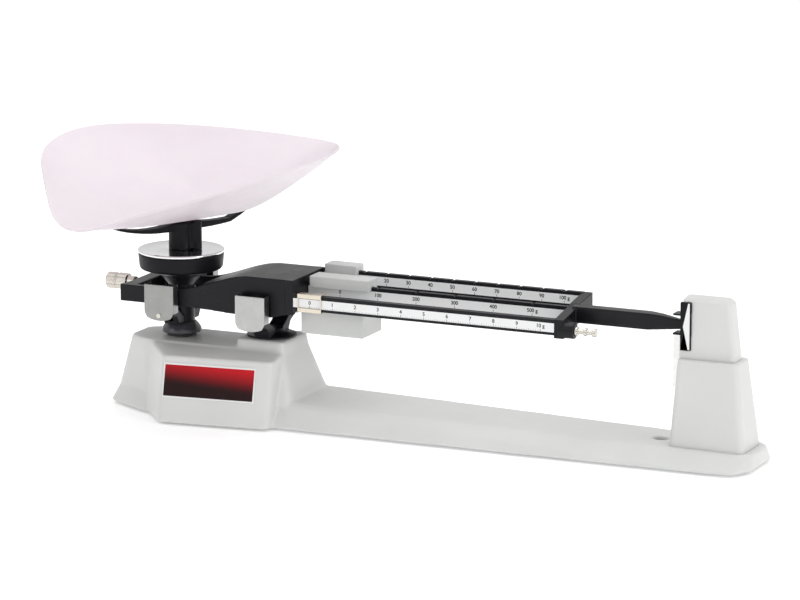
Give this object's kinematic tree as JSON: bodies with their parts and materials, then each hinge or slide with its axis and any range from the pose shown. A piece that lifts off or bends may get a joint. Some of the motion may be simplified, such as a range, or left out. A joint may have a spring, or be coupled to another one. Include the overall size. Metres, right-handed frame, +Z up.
{
  "type": "triple beam balance",
  "caption": "Mechanical balance with three notched and graduated beams, sliding poises, an indicator tower and a removable scoop on a round pan seat.",
  "frame": {"origin": "on the table, straight below the main knife edge", "axes": "+X along the beams to the indicator tower, +Y to the back, +Z up"},
  "size_m": [0.5333, 0.2073, 0.1798],
  "materials": {
    "base_paint": "satin",
    "beam_paint": "satin",
    "poise_paint": "satin",
    "black_plastic": "satin",
    "stainless": "brushed",
    "nickel": "bright",
    "knife_steel": "ground",
    "plain_steel": "zinc plated",
    "magnet": "matt",
    "vane_metal": "matt",
    "rider_metal": "pale plated",
    "scale_white": "matt",
    "label_print": "gloss",
    "agate": "polished",
    "rubber": "matt",
    "scoop_plastic": "satin"
  },
  "bodies": {
    "root": {"base_casting": "base_paint", "bottom_cover": "plain_steel", "cover_screws": "nickel", "rubber_feet": "rubber", "label_plate": "label_print", "fulcrum_pillar": "black_plastic", "pillar_screws": "nickel", "main_bearings": "agate", "main_bearing_covers": "stainless", "stem_grommet": "rubber", "link_bracket": "plain_steel", "link_bracket_pin": "nickel", "tower_lower": "base_paint", "tower_upper": "base_paint", "tower_screws": "nickel", "index_plate": "black_plastic", "index_mark": "scale_white", "damping_magnets": "magnet", "magnet_yoke": "plain_steel", "magnet_yoke_screws": "nickel"},
    "beam": {"beam_frame": "beam_paint", "main_knife": "knife_steel", "pan_knives": "knife_steel", "rear_scale": "scale_white", "centre_scale": "scale_white", "front_scale": "scale_white", "pointer_flag": "beam_paint", "damping_vane": "vane_metal", "weight_stud": "nickel", "zero_screw": "nickel"},
    "hanger": {"pan_hanger": "black_plastic", "pan_bearings": "agate", "pan_bearing_covers": "stainless", "pan_cover_rivets": "nickel", "dust_skirt": "rubber", "link_stem_pin": "nickel", "seat_cup": "black_plastic", "seat_plate": "stainless", "seat_screws": "nickel"},
    "link": {"check_link": "plain_steel"},
    "rear_weight": {"rear_poise": "poise_paint"},
    "centre_weight": {"centre_poise": "poise_paint", "centre_poise_weight": "poise_paint", "poise_weight_screws": "nickel"},
    "front_weight": {"front_rider": "rider_metal"},
    "knob": {"zero_knob": "nickel"},
    "support": {"scoop_support": "black_plastic"},
    "scoop_body": {"scoop": "scoop_plastic"}
  },
  "joints": [
    {"name": "beam_tilt", "type": "hinge", "parent": "root", "child": "beam", "pos_m": [0, 0, 0.081], "axis": [0, 1, 0], "range_deg": [-1.6, 1.6]},
    {"name": "pan_level", "type": "hinge", "parent": "beam", "child": "hanger", "pos_m": [-0.0685, 0, 0.081], "axis": [0, 1, 0], "range_deg": [-1.6, 1.6]},
    {"name": "check_link_swing", "type": "hinge", "parent": "root", "child": "link", "pos_m": [0, 0, 0.014], "axis": [0, 1, 0], "range_deg": [-1.6, 1.6]},
    {"name": "rear_poise_slide", "type": "slide", "parent": "beam", "child": "rear_weight", "axis": [1, 0, 0], "range_m": [0, 0.162]},
    {"name": "centre_poise_slide", "type": "slide", "parent": "beam", "child": "centre_weight", "axis": [1, 0, 0], "range_m": [0, 0.14]},
    {"name": "front_rider_slide", "type": "slide", "parent": "beam", "child": "front_weight", "axis": [1, 0, 0], "range_m": [0, 0.167]},
    {"name": "zero_knob_turn", "type": "hinge", "parent": "beam", "child": "knob", "pos_m": [-0.114, 0, 0.0832], "axis": [1, 0, 0], "range_deg": [-1080, 1080]},
    {"name": "scoop_support_lift", "type": "slide", "parent": "hanger", "child": "support", "axis": [0, 0, 1], "range_m": [0, 0.04]},
    {"name": "scoop_lift", "type": "slide", "parent": "support", "child": "scoop_body", "axis": [0, 0, 1], "range_m": [0, 0.05]}
  ],
  "couplings": [
    {"joint": "pan_level", "follows": "beam_tilt", "ratio": -1},
    {"joint": "check_link_swing", "follows": "beam_tilt", "ratio": 1}
  ]
}
